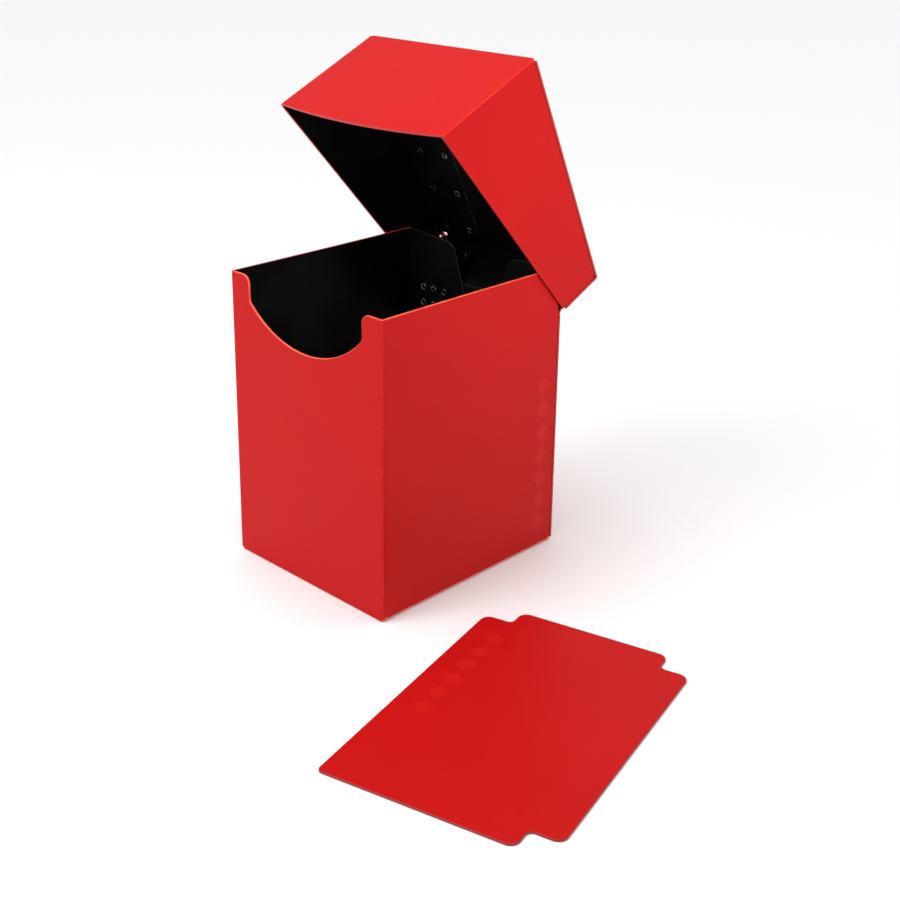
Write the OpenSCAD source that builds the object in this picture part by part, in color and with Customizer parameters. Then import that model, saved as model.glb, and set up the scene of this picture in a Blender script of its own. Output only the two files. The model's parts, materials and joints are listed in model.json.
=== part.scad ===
// Folding deck box for sleeved playing cards, standing with its lid open, and its loose divider.
// The box is one die-cut sheet of plastic: a red outer ply with a black inner ply bonded to it.
// It folds at scored lines, and its flaps and tabs are spot welded.
// X runs across the front, Y from the front to the back, Z up. The origin is under the middle
// of the body. The lid is drawn shut, then turned open about the hinge line.

/* [Sheet] */
// Thickness of the whole sheet
sheet_t = 0.8; // [0.5:0.1:1.2]
// Thickness of its black inner ply
ply_t = 0.2; // [0.1:0.05:0.3]
// Inner radius of a folded edge
fold_in_r = 0.4; // [0.2:0.1:1]

/* [Body] */
// Outer width of the body
body_w = 69.6; // [56:0.5:90]
// Outer depth of the body
body_d = 80; // [62:0.5:104]
// Height of the body
body_h = 98; // [78:0.5:122]

/* [Thumb notch] */
// Width of the notch in the front panel
notch_w = 52; // [40:0.5:54]
// Lowest point of the notch below the top edge
notch_depth = 19.5; // [16:0.5:26]
// Radius of the notch's round bottom
notch_r = 36; // [30:0.5:44]
// Radius where the notch's straight sides turn into its bottom
notch_foot_r = 2.5; // [1.5:0.1:4]
// Radius of the notch's top corners
notch_lip_r = 3; // [1.5:0.1:4]

/* [Body flaps] */
// Height of the rear flaps' feet above the bottom flaps
rear_flap_lift = 1; // [0.5:0.1:4]
// Gap between the two rear flaps
rear_flap_gap = 10.5; // [6:0.5:20]
// How much narrower a rear flap is at its top
rear_flap_taper = 7.5; // [2:0.5:10]
// Height of that narrowing
rear_flap_taper_h = 24; // [12:0.5:36]
// Fall of a rear flap's top edge towards the middle
rear_flap_fall = 1.8; // [0.5:0.1:4]
// Radius of a rear flap's corners
rear_flap_corner_r = 4; // [2:0.5:5]
// Radius where its inner edge starts to narrow
rear_flap_bend_r = 10; // [5:0.5:20]
// Gap between the two bottom flaps
bottom_flap_gap = 14; // [8:0.5:24]
// Bevel at a bottom flap's inner corners
bottom_flap_bevel = 6; // [2:0.5:10]

/* [Hinge] */
// Drop of the hinge line below the body's top edge
hinge_drop = 14.5; // [10:0.5:20]
// Height of the thinned web between the back panel's top edge and the hinge line
hinge_web_h = 2; // [1.5:0.1:3]
// Radius of the rolled living hinge
hinge_r = 0.8; // [0.6:0.05:1]
// Gap between the rolled hinge and the edge of the lid's back strip
hinge_gap = 0.1; // [0.05:0.05:0.3]
// How far the lid stands open
open_angle = 65; // [0:1:110]

/* [Lid] */
// Gap between the lid and the body at the sides and the back
lid_gap = 0.3; // [0.2:0.05:1]
// Gap that the lid's front keeps from the body while the lid swings
swing_gap = 0.2; // [0.1:0.05:1]
// Gap between the body's top edge and the tabs under the lid's top
lid_head = 2.2; // [0.5:0.1:4]
// Height of the lid's front flap at its corners
lid_front_h = 43.5; // [32:0.5:54]
// How far the curved edge of the front flap hangs lower in the middle
lid_front_bow = 2.6; // [0.5:0.1:5]
// How far the lid's sides hang below the hinge line at the back
lid_side_tail = 0.6; // [0:0.1:2]
// Width of a tab under the lid's top
top_tab_w = 21.4; // [16:0.2:26]
// Gap in front of that tab
top_tab_gap = 1.5; // [0.5:0.1:4]
// How much narrower it is at its rear end
top_tab_taper = 1.6; // [0.5:0.1:3]
// Length of that narrowing
top_tab_taper_l = 7; // [4:0.5:12]
// Radius of its corners
top_tab_corner_r = 3; // [1:0.5:4]
// Width of a tab inside the lid's back strip
rear_tab_w = 20; // [16:0.2:26]
// Height of that tab's foot above the hinge line
rear_tab_lift = 2.6; // [1.5:0.1:5]
// Gap above it
rear_tab_gap = 0.8; // [0.3:0.1:3]
// How much narrower it is at its top
rear_tab_taper = 1; // [0.2:0.1:3]
// Radius of its corners
rear_tab_corner_r = 2; // [0.5:0.5:4]
// Radius of the relief hole at each rear corner of the lid's top
relief_r = 1.1; // [0.5:0.1:1.4]

/* [Welds] */
// Outer radius of a weld spot's rim
spot_r = 1.3; // [0.8:0.1:1.8]
// Width of the rim
spot_rim = 0.5; // [0.3:0.1:0.7]
// Height of the rim
spot_h = 0.12; // [0.05:0.01:0.2]
// Distance of a flap's first weld spots in from the side
spot_margin_x = 8; // [6:0.5:12]
// Spacing of the weld spots across a rear flap
spot_pitch_x = 5; // [4:0.1:6]
// Spacing of the two rows in a group
spot_pitch_z = 5.8; // [4:0.1:8]
// Drop of the top group below the body's top edge
rear_spot_drop = 20; // [12:0.5:30]
// Height of the lowest group
rear_spot_lift = 14; // [12:0.5:24]
// Spacing of the weld spots across a bottom flap
bottom_spot_pitch_x = 10; // [6:0.5:12]
// Spacing of the weld spots along a bottom flap
bottom_spot_pitch_y = 25; // [15:0.5:30]
// Distance of a tab's first weld spots in from the side
tab_spot_margin_x = 6.1; // [4:0.1:8]
// Spacing of the weld spots across a tab
tab_spot_pitch_x = 11.7; // [8:0.1:14]
// Distance of the rearmost ones from the lid's back
tab_spot_margin_rear = 8; // [6:0.5:12]
// Distance of the foremost ones from the lid's front
tab_spot_margin_front = 12; // [8:0.5:20]
// Height of the weld spots on the rear tabs above the hinge line
rear_tab_spot_lift = 10.5; // [7:0.5:13]

/* [Divider] */
// Thickness of the divider's sheet
divider_t = 0.7; // [0.4:0.1:1.2]
// Width of the divider
divider_w = 67; // [52:0.5:80]
// Length of the divider, tabs included
divider_l = 98; // [76:0.5:115]
// Width cut away at each of three corners
divider_cut_w = 9.3; // [7:0.1:12]
// Length cut away at each of three corners
divider_cut_l = 7.2; // [6:0.1:10]
// Radius of the tabs' outer corners
divider_tab_r = 3; // [1:0.1:3.5]
// Radius of the tabs' inner corners
divider_nook_r = 1.8; // [1:0.1:2.5]
// Radius of the plain corner
divider_corner_r = 1.5; // [0.5:0.1:4]
// Gap across the table between the body and the divider's nearest corner
divider_aside = 17.6; // [5:0.1:60]
// How far the divider's middle lies in front of the body's middle
divider_ahead = 47; // [20:0.5:90]
// How far the divider is turned out of line with the body
divider_turn = 14; // [0:0.1:30]

/* [Hidden] */
$fn = 64;
red = "#c8201e";
black = "#141414";

// Sheet
red_t = sheet_t - ply_t;
fold_r = fold_in_r + sheet_t;

// Body
half_w = body_w / 2;
flat_half_w = half_w - fold_r;
body_front = -body_d / 2;
body_back = body_d / 2;
flap_back = body_back - sheet_t;
wall_front = body_front + fold_r;
wall_back = flap_back - fold_r;
floor_back = body_back - fold_r;
flap_top = 2 * sheet_t;

// Thumb notch: the foot circle touches the straight side and, from inside, the round bottom
notch_half_w = notch_w / 2;
notch_centre_z = body_h - notch_depth + notch_r;
foot_x = notch_half_w - notch_foot_r;
foot_z = notch_centre_z - sqrt(pow(notch_r - notch_foot_r, 2) - pow(foot_x, 2));
foot_touch_x = foot_x * notch_r / (notch_r - notch_foot_r);
overrun = 1;

// Rear and bottom flaps
rear_flap_w = (body_w - rear_flap_gap) / 2;
rear_flap_top_w = rear_flap_w - rear_flap_taper;
rear_flap_foot = flap_top + rear_flap_lift;
bottom_flap_w = (body_w - bottom_flap_gap) / 2;

// Hinge: the lid's strip lies behind its rear tabs, and the hinge line is in the strip's plane
hinge_y = body_back + lid_gap + sheet_t / 2;
hinge_z = body_h - hinge_drop;
back_top = hinge_z - hinge_web_h;
hinge_half_w = flat_half_w;

// Lid, shut: a front flap this far from the hinge line clears the body's edge as it swings
lid_reach = sqrt(pow(hinge_y - body_front + swing_gap, 2) + pow(hinge_drop, 2));
lid_half_w = half_w + lid_gap + sheet_t;
lid_flat_half_w = lid_half_w - fold_r;
lid_front = hinge_y - lid_reach - sheet_t;
lid_back = body_back + lid_gap + sheet_t;
lid_top = body_h + lid_head + 2 * sheet_t;
lid_foot = lid_top - lid_front_h;
lid_wall_front = lid_front + fold_r;
lid_wall_back = lid_back - sheet_t - fold_r;
lid_wall_top = lid_top - sheet_t - fold_r;
lid_side_foot = hinge_z - lid_side_tail;
relief_edge = 0.3;
relief_x = lid_half_w - fold_r - relief_edge - relief_r;
relief_y = lid_back - fold_r - relief_edge - relief_r;
top_tab_back = relief_y - relief_r - relief_edge;
top_tab_front = lid_wall_front + top_tab_gap;
rear_tab_foot = hinge_z + rear_tab_lift;
rear_tab_top = lid_wall_top - rear_tab_gap;
lid_bow_r = (pow(lid_flat_half_w, 2) + pow(lid_front_bow, 2)) / (2 * lid_front_bow);
bow_steps = 12;

// Weld spots: three groups of two rows up each rear flap, three rows along each bottom flap
// and five along each of the lid's top tabs
rear_spot_rise = (body_h - rear_spot_drop - rear_spot_lift) / 2;
rear_spot_zs = [for (group = [0:2], row = [0:1])
    rear_spot_lift + group * rear_spot_rise - row * spot_pitch_z];
tab_spot_xs = [tab_spot_margin_x, tab_spot_margin_x + tab_spot_pitch_x];
tab_spot_pitch_y = (lid_back - lid_front - tab_spot_margin_rear - tab_spot_margin_front) / 4;

// Divider: its nearest corner clears the body by divider_aside
divider_half_w = divider_w / 2;
divider_half_l = divider_l / 2;
divider_x = half_w + divider_aside
    + divider_half_w * cos(divider_turn) + divider_half_l * sin(divider_turn);

// ---- Outlines and folds ----

// An outline in (y, z), (x, z) or (x, y), carried along the third axis
module along_x(from, to)
    translate([from, 0, 0]) rotate([90, 0, 90]) linear_extrude(to - from) children();

module along_y(from, to)
    translate([0, to, 0]) rotate([90, 0, 0]) linear_extrude(to - from) children();

module along_z(from, to)
    translate([0, 0, from]) linear_extrude(to - from) children();

// Rectangle between two opposite corners
module patch(low, high)
    translate(low) square(high - low);

// Section of a folded edge: a quarter ring about centre, bulging towards toward.
// from and to are depths below the sheet's outer face.
module fold(centre, toward, from, to)
    translate(centre) intersection() {
        difference() {
            circle(fold_r - from);
            circle(fold_r - to);
        }
        patch([min(toward.x, 0), min(toward.y, 0)] * fold_r, [max(toward.x, 0), max(toward.y, 0)] * fold_r);
    }

module both_sides() {
    children();
    mirror([1, 0, 0]) children();
}

function unit(v) = v / norm(v);

// Points of the arc of radius r that rounds the corner b between a and c
function corner_arc(a, b, c, r, steps = 8) =
    let (
        to_a = unit(a - b),
        to_c = unit(c - b),
        half = acos(to_a * to_c) / 2,
        centre = b + unit(to_a + to_c) * r / sin(half),
        start = b + to_a * r / tan(half) - centre,
        turn = (180 - 2 * half) * sign(to_a.x * to_c.y - to_a.y * to_c.x) * -1
    )
    [for (k = [0:steps]) let (t = turn * k / steps)
        centre + [start.x * cos(t) - start.y * sin(t), start.x * sin(t) + start.y * cos(t)]];

// Outline with its corners rounded: each entry is [point, radius]
function rounded(corners) =
    let (n = len(corners))
    [for (k = [0:n - 1])
        let (
            b = corners[k][0],
            r = corners[k][1],
            a = corners[(k + n - 1) % n][0],
            c = corners[(k + 1) % n][0]
        )
        each (r > 0 ? corner_arc(a, b, c, r) : [b])];

// ---- Body: walls between two depths below the outer face ----

module thumb_notch() {
    above = body_h + overrun;
    // Straight sides
    patch([-notch_half_w, foot_z], [notch_half_w, above]);
    // Round bottom, with a small round foot under each straight side
    intersection() {
        translate([0, notch_centre_z]) circle(notch_r, $fn = 160);
        patch([-foot_touch_x, body_h - notch_depth - overrun], [foot_touch_x, above]);
    }
    both_sides() translate([foot_x, foot_z]) circle(notch_foot_r);
    // Rounded top corners
    both_sides() difference() {
        patch([notch_half_w - overrun, body_h - notch_lip_r], [notch_half_w + notch_lip_r, above]);
        translate([notch_half_w + notch_lip_r, body_h - notch_lip_r]) circle(notch_lip_r);
    }
}

module front_wall(from, to) {
    along_y(body_front + from, body_front + to) difference() {
        patch([-flat_half_w, fold_r], [flat_half_w, body_h]);
        thumb_notch();
    }
    along_x(-flat_half_w, flat_half_w) fold([wall_front, fold_r], [-1, -1], from, to);
}

// Right side wall, with its folds to the front wall, the rear flap and the bottom flap.
// The inner ply is trimmed back at the bottom corners.
module side_wall(from, to) {
    fold_foot = from == 0 ? sheet_t : sheet_t + fold_r;
    along_x(half_w - to, half_w - from)
        patch([wall_front, sheet_t + fold_r], [wall_back, body_h]);
    along_z(fold_foot, body_h) {
        fold([flat_half_w, wall_front], [1, -1], from, to);
        fold([flat_half_w, wall_back], [1, 1], from, to);
    }
    along_y(wall_front, wall_back) fold([flat_half_w, sheet_t + fold_r], [1, -1], from, to);
}

module back_wall(from, to) {
    along_y(body_back - to, body_back - from) patch([-half_w, fold_r], [half_w, back_top]);
    along_x(-flat_half_w, flat_half_w) fold([floor_back, fold_r], [1, -1], from, to);
}

module bottom_wall(from, to)
    along_z(from, to) patch([-flat_half_w, wall_front], [flat_half_w, floor_back]);

// Right rear flap, lying against the inside of the back panel
module rear_flap()
    along_y(flap_back - sheet_t, flap_back) polygon(rounded([
        [[flat_half_w, rear_flap_foot], 0],
        [[flat_half_w, body_h], 0],
        [[half_w - rear_flap_top_w, body_h - rear_flap_fall], rear_flap_corner_r],
        [[half_w - rear_flap_w, body_h - rear_flap_fall - rear_flap_taper_h], rear_flap_bend_r],
        [[half_w - rear_flap_w, rear_flap_foot], rear_flap_corner_r]
    ]));

// Right bottom flap, lying on the bottom panel
module bottom_flap()
    along_z(sheet_t, flap_top) polygon([
        [flat_half_w, wall_front],
        [flat_half_w, wall_back],
        [half_w - bottom_flap_w + bottom_flap_bevel, wall_back],
        [half_w - bottom_flap_w, wall_back - bottom_flap_bevel],
        [half_w - bottom_flap_w, wall_front + bottom_flap_bevel],
        [half_w - bottom_flap_w + bottom_flap_bevel, wall_front]
    ]);

// Raised rim that the welding horn leaves
module weld_spot()
    linear_extrude(spot_h) difference() {
        circle(spot_r, $fn = 32);
        circle(spot_r - spot_rim, $fn = 32);
    }

// ---- Lid, drawn shut ----

module opened()
    translate([0, hinge_y, hinge_z]) rotate([-open_angle, 0, 0]) translate([0, -hinge_y, -hinge_z])
        children();

// A point of the shallow arc along the front flap's lower edge
function lid_bow_point(x) =
    [x, lid_foot - lid_front_bow + lid_bow_r - sqrt(pow(lid_bow_r, 2) - pow(x, 2))];

module lid_front_wall(from, to) {
    along_y(lid_front + from, lid_front + to) polygon([
        [-lid_flat_half_w, lid_top - fold_r],
        [-lid_flat_half_w, lid_foot],
        for (k = [1 - bow_steps:bow_steps - 1]) lid_bow_point(k / bow_steps * lid_flat_half_w),
        [lid_flat_half_w, lid_foot],
        [lid_flat_half_w, lid_top - fold_r]
    ]);
    along_x(-lid_flat_half_w, lid_flat_half_w)
        fold([lid_wall_front, lid_top - fold_r], [-1, 1], from, to);
}

module lid_top_wall(from, to)
    along_z(lid_top - to, lid_top - from) difference() {
        patch([-lid_half_w, lid_wall_front], [lid_half_w, lid_back - fold_r]);
        both_sides() translate([relief_x, relief_y]) circle(relief_r);
    }

// Back strip, its lower edge hollowed to follow the rolled hinge
module lid_strip_wall(from, to) difference() {
    union() {
        along_y(lid_back - to, lid_back - from)
            patch([-lid_half_w, hinge_z], [lid_half_w, lid_top - fold_r]);
        along_x(-lid_half_w, lid_half_w)
            fold([lid_back - fold_r, lid_top - fold_r], [1, 1], from, to);
    }
    along_x(-lid_half_w - overrun, lid_half_w + overrun)
        translate([hinge_y, hinge_z]) circle(hinge_r + hinge_gap);
}

// Right side, with its folds to the front flap, the top tab and the rear tab.
// The inner ply is trimmed back at the top front corner.
module lid_side_wall(from, to) {
    fold_head = from == 0 ? lid_top - sheet_t : lid_wall_top;
    along_x(lid_half_w - to, lid_half_w - from) polygon([
        [lid_wall_front, lid_foot],
        [lid_wall_back, lid_side_foot],
        [lid_wall_back, lid_wall_top],
        [lid_wall_front, lid_wall_top]
    ]);
    along_z(lid_foot, fold_head)
        fold([lid_flat_half_w, lid_wall_front], [1, -1], from, to);
    along_z(hinge_z, lid_wall_top) fold([lid_flat_half_w, lid_wall_back], [1, 1], from, to);
    along_y(lid_wall_front, lid_wall_back) fold([lid_flat_half_w, lid_wall_top], [1, 1], from, to);
}

module lid_top_tab()
    along_z(lid_top - 2 * sheet_t, lid_top - sheet_t) polygon(rounded([
        [[lid_flat_half_w, top_tab_front], 0],
        [[lid_flat_half_w, top_tab_back], 0],
        [[lid_half_w - top_tab_w + top_tab_taper, top_tab_back], top_tab_corner_r],
        [[lid_half_w - top_tab_w, top_tab_back - top_tab_taper_l], top_tab_corner_r],
        [[lid_half_w - top_tab_w, top_tab_front], top_tab_corner_r]
    ]));

module lid_rear_tab()
    along_y(lid_back - 2 * sheet_t, lid_back - sheet_t) polygon(rounded([
        [[lid_flat_half_w, rear_tab_foot], 0],
        [[lid_flat_half_w, rear_tab_top], 0],
        [[lid_half_w - rear_tab_w + rear_tab_taper, rear_tab_top], rear_tab_corner_r],
        [[lid_half_w - rear_tab_w, rear_tab_foot], rear_tab_corner_r]
    ]));

// ---- Nodes of the body ----

module front_panel() color(red) front_wall(0, red_t);

module right_side_panel() color(red) side_wall(0, red_t);

module left_side_panel() color(red) mirror([1, 0, 0]) side_wall(0, red_t);

module back_panel() color(red) back_wall(0, red_t);

module bottom_panel() color(red) bottom_wall(0, red_t);

module right_rear_flap() color(black) rear_flap();

module left_rear_flap() color(black) mirror([1, 0, 0]) rear_flap();

module right_bottom_flap() color(black) bottom_flap();

module left_bottom_flap() color(black) mirror([1, 0, 0]) bottom_flap();

module body_inner_ply() color(black) {
    front_wall(red_t, sheet_t);
    both_sides() side_wall(red_t, sheet_t);
    back_wall(red_t, sheet_t);
    bottom_wall(red_t, sheet_t);
}

module rear_weld_spots() color("dimgray")
    both_sides() for (column = [0:2], z = rear_spot_zs)
        translate([half_w - spot_margin_x - column * spot_pitch_x, flap_back - sheet_t, z])
            rotate([90, 0, 0]) weld_spot();

module bottom_weld_spots() color("dimgray")
    both_sides() for (column = [0:1], row = [-1:1])
        translate([
            half_w - spot_margin_x - column * bottom_spot_pitch_x,
            row * bottom_spot_pitch_y,
            flap_top
        ]) weld_spot();

// A point in the section of the rolled hinge, just inside its outline
function in_bead(angle) = [hinge_y, hinge_z] + 0.95 * hinge_r * [cos(angle), sin(angle)];

// The thinned web rises from the back panel's top edge and rolls into a bead on the hinge line
module living_hinge() color(red)
    along_x(-hinge_half_w, hinge_half_w) {
        translate([hinge_y, hinge_z]) circle(hinge_r);
        polygon([
            [flap_back, back_top],
            [body_back, back_top],
            in_bead(-120),
            in_bead(150),
            [flap_back, hinge_z - hinge_r]
        ]);
    }

// ---- Nodes of the lid ----

module lid_back_strip() color(red) opened() lid_strip_wall(0, red_t);

module lid_top_panel() color(red) opened() lid_top_wall(0, red_t);

module lid_front_flap() color(red) opened() lid_front_wall(0, red_t);

module lid_right_side() color(red) opened() lid_side_wall(0, red_t);

module lid_left_side() color(red) opened() mirror([1, 0, 0]) lid_side_wall(0, red_t);

module lid_right_top_tab() color(black) opened() lid_top_tab();

module lid_left_top_tab() color(black) opened() mirror([1, 0, 0]) lid_top_tab();

module lid_right_rear_tab() color(black) opened() lid_rear_tab();

module lid_left_rear_tab() color(black) opened() mirror([1, 0, 0]) lid_rear_tab();

module lid_inner_ply() color(black) opened() {
    lid_front_wall(red_t, sheet_t);
    lid_top_wall(red_t, sheet_t);
    lid_strip_wall(red_t, sheet_t);
    both_sides() lid_side_wall(red_t, sheet_t);
}

module lid_weld_spots() color("dimgray") opened() both_sides() {
    for (x = tab_spot_xs, row = [0:4])
        translate([
            lid_half_w - x,
            lid_back - tab_spot_margin_rear - row * tab_spot_pitch_y,
            lid_top - 2 * sheet_t
        ]) mirror([0, 0, 1]) weld_spot();
    for (x = tab_spot_xs)
        translate([lid_half_w - x, lid_back - 2 * sheet_t, hinge_z + rear_tab_spot_lift])
            rotate([90, 0, 0]) weld_spot();
}

// ---- Divider, lying flat on the table ----

// One plain corner; the other three are cut so that the short and the long edge end in tabs
module deck_divider() color(red)
    translate([divider_x, -divider_ahead, 0]) rotate(divider_turn)
        linear_extrude(divider_t) polygon(rounded([
            [[-divider_half_w, -divider_half_l], divider_corner_r],
            [[divider_half_w - divider_cut_w, -divider_half_l], divider_tab_r],
            [[divider_half_w - divider_cut_w, -divider_half_l + divider_cut_l], divider_nook_r],
            [[divider_half_w, -divider_half_l + divider_cut_l], divider_tab_r],
            [[divider_half_w, divider_half_l - divider_cut_l], divider_tab_r],
            [[divider_half_w - divider_cut_w, divider_half_l - divider_cut_l], divider_nook_r],
            [[divider_half_w - divider_cut_w, divider_half_l], divider_tab_r],
            [[-divider_half_w + divider_cut_w, divider_half_l], divider_tab_r],
            [[-divider_half_w + divider_cut_w, divider_half_l - divider_cut_l], divider_nook_r],
            [[-divider_half_w, divider_half_l - divider_cut_l], divider_tab_r]
        ]));

front_panel();
left_side_panel();
right_side_panel();
back_panel();
bottom_panel();
left_rear_flap();
right_rear_flap();
left_bottom_flap();
right_bottom_flap();
body_inner_ply();
rear_weld_spots();
bottom_weld_spots();
living_hinge();
lid_back_strip();
lid_top_panel();
lid_front_flap();
lid_left_side();
lid_right_side();
lid_left_top_tab();
lid_right_top_tab();
lid_left_rear_tab();
lid_right_rear_tab();
lid_inner_ply();
lid_weld_spots();
deck_divider();
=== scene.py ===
import json

import bpy
import numpy as np
from mathutils import Matrix, Vector


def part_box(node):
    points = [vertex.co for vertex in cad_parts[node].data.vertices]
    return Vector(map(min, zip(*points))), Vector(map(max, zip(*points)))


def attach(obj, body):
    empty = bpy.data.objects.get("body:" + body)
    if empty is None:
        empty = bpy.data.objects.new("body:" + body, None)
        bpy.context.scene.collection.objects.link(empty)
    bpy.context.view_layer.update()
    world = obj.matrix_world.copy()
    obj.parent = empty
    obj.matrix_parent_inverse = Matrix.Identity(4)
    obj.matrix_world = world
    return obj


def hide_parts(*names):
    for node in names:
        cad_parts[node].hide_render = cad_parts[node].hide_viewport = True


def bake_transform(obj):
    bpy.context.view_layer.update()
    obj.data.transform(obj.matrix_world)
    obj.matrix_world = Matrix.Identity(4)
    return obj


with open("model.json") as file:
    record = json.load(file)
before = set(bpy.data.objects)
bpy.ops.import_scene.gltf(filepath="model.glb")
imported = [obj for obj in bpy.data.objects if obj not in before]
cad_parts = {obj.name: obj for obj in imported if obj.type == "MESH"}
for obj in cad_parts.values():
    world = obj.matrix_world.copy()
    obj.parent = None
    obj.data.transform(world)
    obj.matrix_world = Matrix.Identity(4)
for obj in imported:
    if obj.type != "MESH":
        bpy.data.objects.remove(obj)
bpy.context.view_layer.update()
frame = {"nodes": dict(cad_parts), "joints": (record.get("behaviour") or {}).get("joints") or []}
print("frame loaded:", len(frame["nodes"]), "nodes")

# A deck box folded from one die-cut sheet: red outside, black inside. Each panel is drawn as a
# grid of points on the sheet's outer face and a matching grid on its inner face. The lid is
# drawn shut and then turned open about the hinge line. All lengths are in metres.

mm = 0.001
xAxis, yAxis, zAxis = np.eye(3)
samePlace = 1e-6           # closer than this, two points are one
noStep = 1e-7              # a shorter step along an outline is left out

sheet = dict(
    edgeRound=0.13 * mm,   # rounding that the cutting die leaves along a cut edge
    foldSteps=12,          # faces round a fold
    foldSquareness=0.55,   # 1 for a round fold, less for a squarer one
    cell=3.2 * mm,         # size of the faces on a flat wall
    knotGap=6 * mm,        # between the knots that a flap's faces run from
)


# Places, read from the frame

def span(node, axis):
    # lowest and highest place of a node along one axis
    low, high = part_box(node)
    return low[axis], high[axis]


hingeJoint = [joint for joint in frame["joints"] if joint["name"] == "lid_hinge"][0]
hingeY, hingeZ = hingeJoint["pos_m"][1:]
openAngle = -np.radians(hingeJoint["range_deg"][0])

thick = np.ptp(span("right_rear_flap", 1))
halfWidth = span("right_side_panel", 0)[1]
flatHalf = span("bottom_panel", 0)[1]
foldRadius = halfWidth - flatHalf
bodyFront = span("front_panel", 1)[0]
bodyBack = span("back_panel", 1)[1]
bodyTop = span("right_side_panel", 2)[1]
wallFront = bodyFront + foldRadius
flapBack = span("right_rear_flap", 1)[1]
wallBack = flapBack - foldRadius
backTop = span("back_panel", 2)[1]


def turned(points, angle):
    # y' = y cos + z sin and z' = z cos - y sin, about the hinge line
    y, z = points[..., 1] - hingeY, points[..., 2] - hingeZ
    moved = points.copy()
    moved[..., 1] = hingeY + y * np.cos(angle) + z * np.sin(angle)
    moved[..., 2] = hingeZ + z * np.cos(angle) - y * np.sin(angle)
    return moved


def shutSpan(node, axis):
    # lowest and highest place of a lid node once the lid is turned shut
    mesh = frame["nodes"][node].data
    points = np.empty(len(mesh.vertices) * 3)
    mesh.vertices.foreach_get("co", points)
    shut = turned(points.reshape(-1, 3), -openAngle)[:, axis]
    return shut.min(), shut.max()


lidHalf = shutSpan("lid_top_panel", 0)[1]
lidFlatHalf = shutSpan("lid_front_flap", 0)[1]
lidFront = shutSpan("lid_front_flap", 1)[0]
lidBack = shutSpan("lid_back_strip", 1)[1]
lidTop = shutSpan("lid_top_panel", 2)[1]
lidBowFoot = shutSpan("lid_front_flap", 2)[0]
lidFoot = shutSpan("lid_right_side", 2)[0]
lidWallFront = lidFront + foldRadius
lidWallBack = lidBack - thick - foldRadius
lidWallTop = lidTop - thick - foldRadius


# Outlines

def arc(centre, radius, start, stop, steps):
    # centre + radius (cos a, sin a), with a from start to stop in degrees
    angle = np.radians(np.linspace(start, stop, steps + 1))
    return np.array(centre) + radius * np.stack([np.cos(angle), np.sin(angle)], 1)


def joinedPath(*stretches):
    # the stretches one after another, without points that repeat
    path = np.concatenate([np.atleast_2d(stretch) for stretch in stretches])
    steps = np.linalg.norm(np.diff(path, axis=0), axis=1)
    return path[np.append(True, steps > noStep)]


def divided(path, length):
    # the same path with long straight steps cut into steps of at most this length
    pieces = []
    for start, stop in zip(path[:-1], path[1:]):
        count = max(1, int(np.ceil(np.linalg.norm(stop - start) / length)))
        share = np.arange(count)[:, None] / count
        pieces.append(start + (stop - start) * share)
    return np.concatenate([*pieces, path[-1:]])


def roundedOutline(corners, steps=8):
    # closed outline: at each corner an arc that touches both sides, given as (x, y, radius)
    points = np.array([corner[:2] for corner in corners], float)
    stretches = []
    for index, (_, _, radius) in enumerate(corners):
        corner = points[index]
        before = points[index - 1] - corner
        after = points[(index + 1) % len(points)] - corner
        before, after = before / np.linalg.norm(before), after / np.linalg.norm(after)
        if radius == 0:
            stretches.append(corner)
            continue
        half = np.arccos(np.clip(before @ after, -1, 1)) / 2
        middle = before + after
        centre = corner + middle / np.linalg.norm(middle) * radius / np.sin(half)
        start = corner + before * radius / np.tan(half) - centre
        side = np.sign(before[1] * after[0] - before[0] * after[1])
        turn = side * np.linspace(0, np.pi - 2 * half, steps + 1)
        stretches.append(centre + np.stack([
            start[0] * np.cos(turn) - start[1] * np.sin(turn),
            start[0] * np.sin(turn) + start[1] * np.cos(turn)], 1))
    path = joinedPath(*stretches)
    return np.concatenate([path, path[:1]])


def lines(low, high, cell=sheet["cell"]):
    # evenly spaced places from low to high, at most a cell apart
    return np.linspace(low, high, max(1, int(np.ceil((high - low) / cell))) + 1)


# Patches of the folded sheet: a grid of outer points and a grid of inner points

def wall(origin, across, acrossAxis, up, upAxis, inward, bow=None, depth=thick):
    # origin + across acrossAxis + up upAxis + bow inward, where across, up and bow are grids
    outer = origin + across[..., None] * acrossAxis + up[..., None] * upAxis
    if bow is not None:
        outer = outer + bow[..., None] * inward
    return dict(outer=outer, inner=outer + inward * depth, curved=bow is not None, bent=0.0)


def fold(centre, along, alongAxis, first, last, stretch=1.0):
    # centre + along alongAxis + radius (cos^p a first + sin^p a last), with a over a right angle
    # and p below one for a scored corner, squarer than a round one; the inner face is round.
    # The red face is painted paler along the fold, most halfway round as sin 2a and scaled by stretch:
    # stress whitening and a painted highlight.
    turn = np.linspace(0, np.pi / 2, sheet["foldSteps"] + 1)[None, :, None]
    cosine, sine = np.cos(turn).clip(0), np.sin(turn).clip(0)
    power = sheet["foldSquareness"]
    middle = centre + along[:, None, None] * alongAxis
    bent = np.broadcast_to(stretch * np.sin(2 * turn[..., 0]), (len(along), turn.shape[1]))
    return dict(outer=middle + foldRadius * (cosine ** power * first + sine ** power * last),
                inner=middle + (foldRadius - thick) * (cosine * first + sine * last),
                curved=True, bent=bent)


def spineUp(x, low, high, margin):
    # knots on an upright line at x, from margin above low to margin below high
    knots = lines(low + margin, high - margin, sheet["knotGap"])
    return np.stack([np.full(len(knots), x), knots], 1)


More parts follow.
